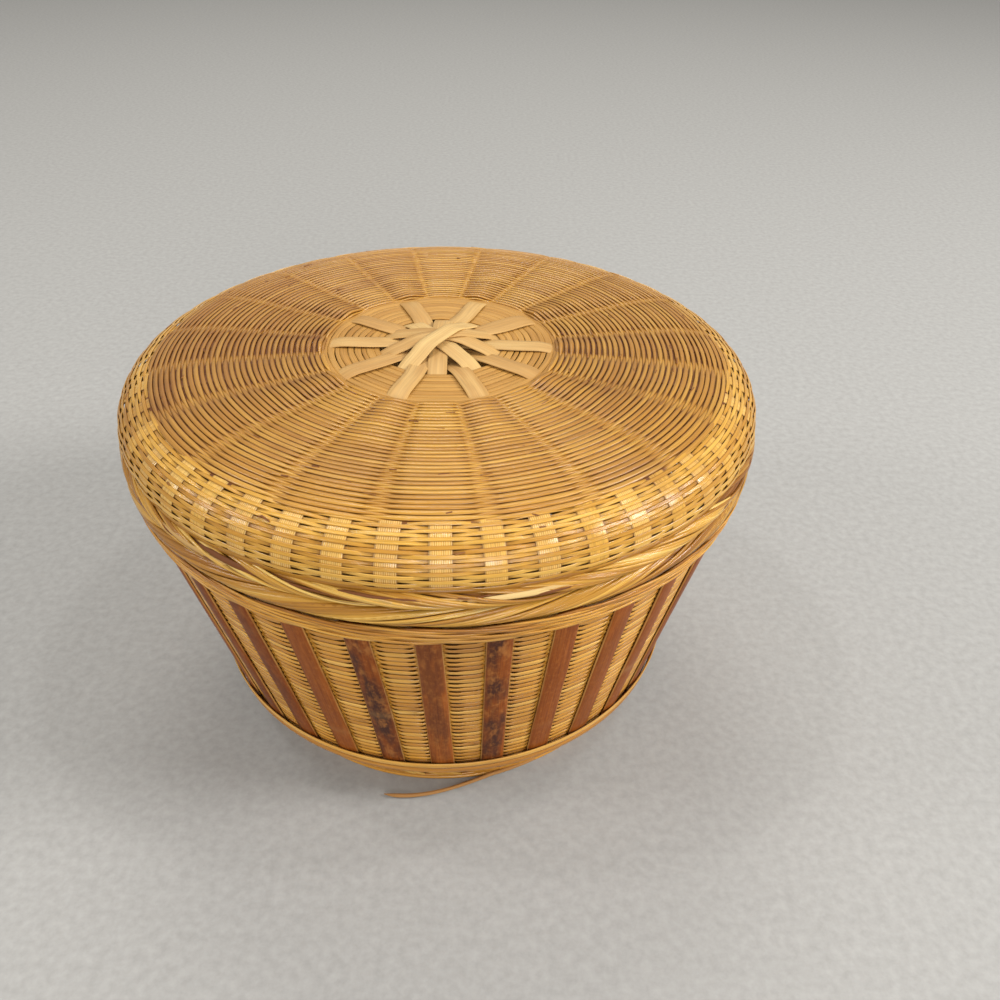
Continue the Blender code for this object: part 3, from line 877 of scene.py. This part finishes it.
def make_hoop():
    """The lower hoop: two splits, one above the other, with lapped ends, and a strand behind them."""
    rng, weave = begin_part(seed=43)
    tall = hoop.top - hoop.bottom
    turn = np.linspace(0, math.tau + 7 * DEGREE, 260)
    lap = 0.25 * MM * smooth(turn, math.tau - 5 * DEGREE, math.tau + 2 * DEGREE)
    for share_low, share_high, tone, begin in ((0.0, 0.52, 0.36, 2.4), (0.54, 1.0, 0.82, 4.0)):
        angles = begin + turn
        height = hoop.bottom + tall * (share_low + share_high) / 2 + ripple(angles, rng, 0.08 * MM)
        radius = seat_on_slats(height) + 0.45 * MM + lap
        width = tall * (share_high - share_low) * (0.97 + ripple(angles, rng, 0.03))
        weave.lay(radius, angles, height, 1, -wall_slope, width, HOOP_THICKNESS, tone, section=OVAL)
    height = hoop.bottom + 0.5 * MM
    radius = seat_on_slats(height) - SLAT_THICKNESS - 0.55 * MM
    weave.encircle(radius, height, (1, 0), 1.2 * MM, 3.0 * MM, tone=0.1, stain=0.8, stations=200)
    weave.build("lower_hoop_split", "base", base_weft_finish, "pale_strip", "lower_hoop")


FOOT_STRANDS = 36
FOOT_COILS = 5
FOOT_SLANT = 14 * DEGREE
FOOT_STEP = 2.6 * DEGREE
FOOT_STRAND_WIDTH = 2.5 * MM
FOOT_GROUND_GAP = 0.9 * MM


def make_foot():
    """The foot: strands that fall to the right over a coil of filling, flat where it stands."""
    rng, weave = begin_part(seed=47)
    tall = foot_top - foot_bottom
    thick = foot_outer - foot_inner
    for k in range(FOOT_COILS):
        height = foot_bottom + tall * (k + 0.5) / FOOT_COILS
        radius = foot_inner + foot_flare * (k + 0.5) / FOOT_COILS + thick * 0.5
        width = tall / FOOT_COILS * 0.98
        weave.encircle(radius, height, (1, 0), width, thick * 0.5, tone=0.1, stain=0.75)
    share = np.linspace(0, 1, 26)
    swell = np.sin(math.pi * share) ** 0.45
    rise = 1 - share
    for i in range(FOOT_STRANDS):
        begin = math.tau * (i + rng.uniform(-0.12, 0.12)) / FOOT_STRANDS
        for j, width_share in enumerate((1.0, 0.78, 0.5)):
            angles = begin + FOOT_SLANT * share ** 1.15 + j * FOOT_STEP
            width = FOOT_STRAND_WIDTH * width_share * rng.uniform(0.85, 1.1) * (0.6 + 0.4 * swell)
            height = foot_bottom + FOOT_GROUND_GAP + width / 2 + (tall - width - FOOT_GROUND_GAP) * rise
            radius = foot_outer + foot_flare * rise + 0.3 * MM * swell - 0.7 * MM - 1.0 * MM * (1 - swell)
            tone = rng.uniform(0.3, 0.9)
            weave.lay(radius, angles, height, 1, 0, width, 1.2 * MM, tone, stain=0.35 * (1 - swell))
            if j < 2:
                radius = foot_inner + foot_flare * share + 0.7 * MM
                height = foot_bottom + width / 2 + (tall - width) * share
                tone = rng.uniform(0.25, 0.7)
                weave.lay(radius, angles, height, -1, 0, width, 1.1 * MM, tone, stain=0.3)
    for level, out, tone in ((1.0, 0.1, 0.6), (2.7, 0.3, 0.4), (1.6, -0.9, 0.3)):
        angles = rng.uniform(0, math.tau) + np.linspace(0, math.tau + 6 * DEGREE, 240)
        height = foot_bottom + level * MM + ripple(angles, rng, 0.15 * MM)
        radius = foot_outer + out * MM - 0.75 * MM + ripple(angles, rng, 0.12 * MM)
        height = np.maximum(height, foot_bottom + FOOT_GROUND_GAP)
        weave.lay(radius, angles, height, 1, 0, 1.75 * MM, 1.3 * MM, tone, section=OVAL, stain=0.1)
    weave.build("foot_plait", "base", base_weft_finish, "straw_weft", "foot_ring")


COLLAR_THICKNESS = 0.8 * MM
COLLAR_JOINT = 3.6


def make_collar():
    """The collar inside the rim: a thin flat hoop with its ends lapped."""
    weave = Weave()
    turn = np.linspace(0, math.tau + 12 * DEGREE, 240)
    over = smooth(turn, math.tau - 3 * DEGREE, math.tau + 3 * DEGREE)
    under = smooth(-turn, -14 * DEGREE, -8 * DEGREE)
    radius = collar.radius - 0.42 * MM * (over - under)
    tall = collar.top - collar.bottom
    angles = COLLAR_JOINT + turn
    weave.lay(radius, angles, collar.height, 1, 0, tall, COLLAR_THICKNESS, tone=0.6, section=STRIP)
    weave.build("collar_hoop", "base", pale_finish, "pale_strip", "inner_collar")


def make_loose_strand():
    """The strand end that has sprung from the foot, laid along the middle line of the model's own."""
    weave = Weave()
    corners = corners_of("loose_strand")
    thickness = 2 * (corners[:, 2].max() - corners[:, 2].mean())
    angles = np.arctan2(corners[:, 0], -corners[:, 1])
    rings = np.array_split(corners[np.argsort(-angles)], 9)
    middle = np.array([ring.mean(axis=0) for ring in rings])
    share = np.linspace(0, 1, 48)
    curve = [np.polyval(np.polyfit(np.linspace(0, 1, len(rings)), column, 4), share) for column in middle.T]
    line = np.stack(curve, axis=1)
    x, y, level = line[0]
    root_radius = math.hypot(x, y)
    along_foot = np.linspace(1, 0.06, 16)
    eased = along_foot ** 0.5
    root = around(
        root_radius + (foot_outer - 0.3 * MM - root_radius) * eased,
        math.atan2(x, -y) + 15 * DEGREE * along_foot,
        level + (foot_bottom + 1.6 * MM - level) * eased,
    )
    line = np.concatenate([root, line])
    share = np.linspace(0, 1, len(line))
    taper = np.sqrt(1 - smooth(share, 0.9, 1.0) * 0.93) * (0.95 + 0.05 * np.sin(9 * share))
    weave.add(line, UPWARD, thickness * taper, thickness * 0.92 * taper, 0.1, section=ROUND, stain=0.5)
    weave.build("sprung_strand", "base", pale_finish, "pale_strip", "loose_strand")


# The floor

FLOOR_ZONE = Zone(
    ribs=24, stations=10, first=0.0, pitch=1.5 * MM, depth=1.0 * MM, swing=0.6 * MM, float_width=2.7 * MM,
    cross_width=1.5 * MM, thickness=0.5 * MM, sharpness=1.8, flat_from=0.15, flat_to=0.7,
)
FLOOR_STRIPS = 6
FLOOR_STRIP_WIDTH = 7.0 * MM
STRIP_THICKNESS = 0.55 * MM


def make_floor():
    rng, weave = begin_part(seed=53)
    outline = Outline([(radius, floor.top) for radius in np.linspace(2 * MM, floor.outer, 20)])
    start = 8 * MM
    rows = int((outline.length - 1.3 * MM - start) / FLOOR_ZONE.pitch) + 1
    weave_rows(weave, outline, start, rows, FLOOR_ZONE, rng, tones=(0.2, 0.7))
    edge = floor.outer + 0.1 * MM
    weave.encircle(edge, floor.height, (0, 1), 3.6 * MM, 1.5 * MM, tone=0.5, section=OVAL)
    for first, begin, width in ((0, 3 * MM, 6.5 * MM), (1, 20 * MM, 4.0 * MM)):
        ribs = FLOOR_ZONE.rib_angles()[first::2]
        stakes(weave, outline, begin, outline.length, ribs, 1.0 * MM, width, 0.5 * MM, rng)
    weave.build("floor_weft", "base", base_weft_finish, "straw_weft", "floor_weave")


def strip_path(node):
    """The direction of one of the model's strips, and its middle's height by distance from the crossing."""
    corners = corners_of(node)
    far = corners[np.argmax(np.hypot(corners[:, 0], corners[:, 1]))]
    along = unit(far * (1, 1, 0))
    step = 0.2 * MM
    place = corners @ along / step
    keys = np.unique(np.round(place).astype(int))
    return along, np.array([(key * step, corners[np.abs(place - key) < 3, 2].mean()) for key in keys])


def make_strip(weave, node, width, rng, tone, bend=0.0, stain=0.0, knot=(0.0, 0.0), flare=0.0):
    """A strip that follows one of the model's, with rounded bends, eased edges and a slight sideways bend.

    Knot moves its middle over the floor plan, and flare widens its right-hand end by a share.
    """
    along, line = strip_path(node)
    reach = line[:, 0].max()
    distance = np.linspace(-reach, reach, 90)
    kernel = np.hanning(9)
    padded = np.pad(np.interp(distance, line[:, 0], line[:, 1]), 4, mode="edge")
    height = np.convolve(padded, kernel / kernel.sum(), mode="valid")
    sideways = np.cross(UPWARD, along)
    hump = np.cos(math.pi / 2 * np.clip(distance / (30 * MM), -1, 1)) ** 2
    drift = (bend + np.dot(knot, sideways[:2])) * hump
    width = width * (1 + flare * smooth(distance * np.sign(along[0]), 14 * MM, 32 * MM))
    width = width * (1 + 0.04 * np.sin(distance / (9 * MM) + rng.uniform(0, 6)))
    middle = distance[:, None] * along + drift[:, None] * sideways + height[:, None] * UPWARD
    weave.add(middle, UPWARD, width, STRIP_THICKNESS, tone, section=STRIP, stain=stain)


def make_floor_strips():
    rng = np.random.default_rng(seed=59)
    for i in range(1, FLOOR_STRIPS + 1):
        weave = Weave()
        tone = rng.uniform(0.3, 0.7)
        make_strip(weave, f"floor_strip_{i}", FLOOR_STRIP_WIDTH, rng, tone, stain=0.15)
        weave.build(f"floor_split_{i}", "base", pale_finish, "pale_strip", f"floor_strip_{i}")


# The lid

def lid_outline():
    """From the inner edge of the lid's weave out over the top, round the shoulder and down to its edge."""
    reach = lid_radius - lid_flat_radius
    rise = lid_top - shoulder_bottom
    power = 2 / SHOULDER_SQUARENESS
    points = [(radius, lid_top) for radius in np.linspace(lid_inner, lid_flat_radius, 16)]
    for share in np.linspace(0.02, 1, 60):
        turn = math.pi / 2 * (1 - share)
        radius = lid_flat_radius + reach * math.cos(turn) ** power
        points.append((radius, shoulder_bottom + rise * math.sin(turn) ** power))
    points.append((lid_lower_radius, lid_bottom))
    return Outline(points)


TOP_ZONE = Zone(
    ribs=4 * HUB_STRIPS, stations=12, first=SHORT_FIRST, pitch=1.1 * MM, depth=0.85 * MM, swing=0.42 * MM,
    float_width=2.08 * MM, cross_width=1.15 * MM, thickness=0.6 * MM, sharpness=2.1, flat_from=0.10,
    flat_to=0.66, dark=(0.5, 0.8), section=BROAD,
)
SIDE_ZONE = Zone(
    ribs=46, stations=10, first=3.4 * DEGREE, pitch=1.45 * MM, depth=0.85 * MM, swing=0.45 * MM,
    float_width=1.5 * MM, cross_width=1.43 * MM, thickness=0.45 * MM, sharpness=1.8, flat_from=0.4,
    flat_to=0.8, dark=(0.78, 0.93), dive=0.14,
)
SIDE_STAKE_WIDTH = 7.4 * MM
LID = lid_outline()
TOP_EDGE = LID.distance_at_radius(lid_radius - 13.5 * MM)
TICKS = 90


def from_long_rib(angles):
    """How far an angle lies from the nearest long arm of the star."""
    pitch = math.tau / (2 * HUB_STRIPS)
    return np.abs((angles - LONG_FIRST + pitch / 2) % pitch - pitch / 2)


def lift_over_arms(radius, angles):
    """The weft bulges where it passes over the ends of the long arms."""
    near = bell(from_long_rib(angles), 4.6 * DEGREE)
    return ARM_LIFT * near * (1 - smooth(radius, lid_inner + 10 * MM, lid_flat_radius + 15 * MM))


def beside_arms(radius, angles):
    """Next to the edges of the long arms, near their ends."""
    flank = bell(from_long_rib(angles) - 5.8 * DEGREE, 2.4 * DEGREE)
    return flank * (1 - smooth(radius, lid_inner + 6 * MM, lid_inner + 42 * MM))


def side_shade_and_browning(radius, angles):
    """The top is painted darker to the left and right as shade, more on the left, and browner beside the
    long arms' ends, not in its inmost rows.
    """
    sides = (0.75 - 0.25 * np.sin(angles)) * np.sin(angles) ** 2
    innermost = 1 - smooth(radius, lid_inner + 2 * MM, lid_inner + 4 * MM)
    return 0.46 * sides + 0.16 * beside_arms(radius, angles) - 0.9 * innermost


def open_sides(radius, angles):
    """The rows lie less tightly to the left, to the right and behind, and beside the long arms' ends."""
    front = smooth(np.cos(angles), 0.1, 0.95)
    edge = 1 - 0.75 * smooth(radius, 0.84 * lid_radius, 0.94 * lid_radius)
    return (0.05 + 0.22 * (1 - front)) * edge + 0.14 * beside_arms(radius, angles)


def make_lid_top():
    rng, weave = begin_part(seed=61)
    start = 1.2 * MM
    rows = round((TOP_EDGE - start) / TOP_ZONE.pitch) + 1
    weave_rows(
        weave, LID, start, rows, TOP_ZONE, rng, tones=(0.36, 0.64), lift=lift_over_arms, stain=side_shade_and_browning,
        slack=open_sides,
    )
    hidden = LID.distance_at_radius(lid_flat_radius - 6 * MM)
    ribs = TOP_ZONE.rib_angles()
    stakes(weave, LID, hidden, TOP_EDGE, ribs, 0.95 * MM, 6.5 * MM, 0.6 * MM, rng, stain=0.95)
    weave.build("lid_top_weft", "lid", weft_finish, "straw_weft", "lid_weave")


def make_ticks():
    """Short dark strand ends that stand out of the lid's weave where one strand follows another."""
    rng, weave = begin_part(seed=83)
    share = np.linspace(0, 1, 6)
    for _ in range(TICKS):
        distance = LID.length * rng.uniform(0.05, 0.9)
        place = LID.read(distance + 0.5 * MM * (share - 0.5) * rng.normal(0, 1))
        length = rng.uniform(1.5, 4.5) * MM
        angles = rng.uniform(0, math.tau) + length / place[0] * share
        sink = -0.32 * MM + 0.22 * MM * share
        width = rng.uniform(0.5, 0.9) * MM * (1 - 0.4 * share)
        tone = rng.uniform(0, 0.4)
        weave.follow(place, angles, sink, width, 0.35 * MM, tone, stain=rng.uniform(0.4, 1))
    weave.build("lid_splice_ends", "lid", weft_finish, "straw_weft")


def make_lid_side():
    """Plain rows over flat pale stakes, which show as blocks where the rows pass under them."""
    rng, weave = begin_part(seed=67)
    last = LID.length - 0.5 * MM
    rows = round((last - TOP_EDGE - 0.8 * MM) / SIDE_ZONE.pitch) + 1
    start = last - SIDE_ZONE.pitch * (rows - 1)
    weave_rows(weave, LID, start, rows, SIDE_ZONE, rng, tones=(0.38, 0.8))
    stakes(
        weave, LID, start - 0.6 * MM, LID.length, SIDE_ZONE.rib_angles(), SIDE_ZONE.depth, SIDE_STAKE_WIDTH,
        0.45 * MM, rng, points=26, tone=0.63, stain=0.0, hatch=1.0,
    )
    weave.build("lid_side_weft", "lid", weft_finish, "straw_weft", crisp=True)


def make_hub_ring():
    """Wide flat weft round the crossing, over the short arms and under the long ones."""
    rng, weave = begin_part(seed=71)
    under = min(heights_of(f"lid_long_strip_{i + 1}")[0] for i in range(HUB_STRIPS)) - 0.4 * MM
    for radius in np.arange(5 * MM, hub_ring.inner + 2 * MM, 2.5 * MM):
        angles = rng.uniform(0, math.tau) + np.linspace(0, math.tau, 90)
        weave.lay(radius, angles, under, 0, 1, 2.7 * MM, 0.4 * MM, rng.uniform(0.5, 1), section=STRIP)
    begin = hub_ring.inner
    while begin < lid_inner + 0.8 * MM:
        width = rng.uniform(1.9, 3.1) * MM
        angles = rng.uniform(0, math.tau) + np.linspace(0, math.tau + 3 * DEGREE, 260)
        swing = np.cos(HUB_STRIPS * 2 * (angles - SHORT_FIRST))
        height = hub_ring.height + 0.2 * MM + 0.22 * MM * swing + ripple(angles, rng, 0.05 * MM)
        radius = begin + width / 2 + ripple(angles, rng, 0.12 * MM)
        narrow = 0.2 * np.sin(angles) ** 2 * smooth(ripple(angles, rng, 1.0), -0.8, 0.4)
        wide = width * (1.03 - narrow)
        tone = rng.uniform(0.45, 0.8)
        weave.lay(radius, angles, height, -0.05, 1, wide, 0.5 * MM, tone, section=STRIP, stain=0.03)
        begin += width
    weave.build("hub_ring_weft", "lid", hub_finish, "hub_weft", "lid_hub_weave")


# The star's strips: kind, width, tones, and each one's sideways bend and the flare of its right-hand end

KNOT_MIDDLE = (-2.0 * MM, 4.0 * MM)
STAR_STRIPS = (
    ("long", 8.3 * MM, (0.4, 0.7), (1.2, -1.0, 0.6, 1.6, -1.4), (0.0, 0.0, 0.0, 0.25, 0.0)),
    ("short", 7.9 * MM, (0.55, 0.85), (-1.5, 1.2, -0.8, 2.0, 3.4), (0.0, 0.0, 0.0, 0.0, 0.0)),
)


def make_hub_strips():
    rng = np.random.default_rng(seed=73)
    for i in range(HUB_STRIPS):
        for kind, width, tones, bends, flares in STAR_STRIPS:
            node = f"lid_{kind}_strip_{i + 1}"
            weave = Weave()
            tone = rng.uniform(*tones)
            make_strip(weave, node, width, rng, tone, bends[i] * MM, knot=KNOT_MIDDLE, flare=flares[i])
            weave.build(f"star_{kind}_{i + 1}", "lid", pale_finish, "pale_strip", node)


# Floor, light and camera

GROUND_HALF = 6.0
LAMP_TARGET = Vector((0, 0, 0.1))
LAMPS = (
    ("overhead", (-0.15, 1.2, 2.1), 1.1, 17.5, (1.0, 0.98, 0.94)),
    ("glint left", (-0.75, -0.05, 2.0), 0.16, 4.5, (1, 1, 1)),
    ("glint right", (0.75, -0.05, 2.0), 0.16, 4.5, (1, 1, 1)),
    ("left", (-1.9, -0.4, 1.35), 0.6, 12.0, (1, 1, 1)),
    ("right", (1.8, -0.35, 1.35), 0.7, 38.0, (1, 1, 1)),
    ("front", (0.5, -2.4, 1.1), 1.2, 40.0, (1, 1, 1)),
)
CAMERA_PLACE = Vector((25.07, -354.24, 339.86)) * MM
CAMERA_PITCH = 35.767 * DEGREE
CAMERA_ROLL = 1.182 * DEGREE
CAMERA_LENS = 35.0
SENSOR_WIDTH = 36.0


def make_ground():
    mesh = bpy.data.meshes.new("ground")
    corners = [(x * GROUND_HALF, y * GROUND_HALF, 0) for x, y in ((-1, -1), (1, -1), (1, 1), (-1, 1))]
    mesh.from_pydata(corners, [], [(0, 1, 2, 3)])
    ground = bpy.data.objects.new("ground", mesh)
    bpy.context.collection.objects.link(ground)
    look = Look("ground")
    fuzz = look.noise(look.place(), 240.0, detail=4.0)
    colour = look.ramp(fuzz, (0.3, (0.310, 0.302, 0.285)), (0.7, (0.370, 0.362, 0.343)))
    mesh.materials.append(look.surface(colour, roughness=0.9, shine=0.2))


def make_lights():
    for name, place, size, power, colour in LAMPS:
        light = bpy.data.lights.new(name, "AREA")
        light.shape = "DISK"
        light.size = size
        light.energy = power
        light.color = colour
        lamp = bpy.data.objects.new(name, light)
        lamp.location = place
        lamp.rotation_euler = (LAMP_TARGET - Vector(place)).to_track_quat("-Z", "Y").to_euler()
        bpy.context.collection.objects.link(lamp)
    world = bpy.data.worlds.new("studio")
    world.use_nodes = True
    background = world.node_tree.nodes["Background"]
    background.inputs["Color"].default_value = (1.0, 0.99, 0.97, 1)
    background.inputs["Strength"].default_value = 0.5
    bpy.context.scene.world = world


def make_camera():
    camera = bpy.data.cameras.new("photo_camera")
    camera.lens = CAMERA_LENS
    camera.sensor_width = SENSOR_WIDTH
    camera.sensor_fit = "HORIZONTAL"
    camera.clip_start = 0.01
    holder = bpy.data.objects.new("photo_camera", camera)
    tilt = Matrix.Rotation(math.pi / 2 - CAMERA_PITCH, 4, "X")
    roll = Matrix.Rotation(CAMERA_ROLL, 4, "Z")
    holder.matrix_world = Matrix.Translation(CAMERA_PLACE) @ tilt @ roll
    bpy.context.collection.objects.link(holder)
    bpy.context.scene.camera = holder


make_wall()
make_slats()
make_band()
make_hoop()
make_foot()
make_rim_border()
make_collar()
make_loose_strand()
make_floor()
make_floor_strips()
make_lid_top()
make_ticks()
make_lid_side()
make_lid_border()
make_border_strays()
make_hub_ring()
make_hub_strips()
make_ground()
make_lights()
make_camera()
bpy.context.scene.view_settings.view_transform = "Standard"
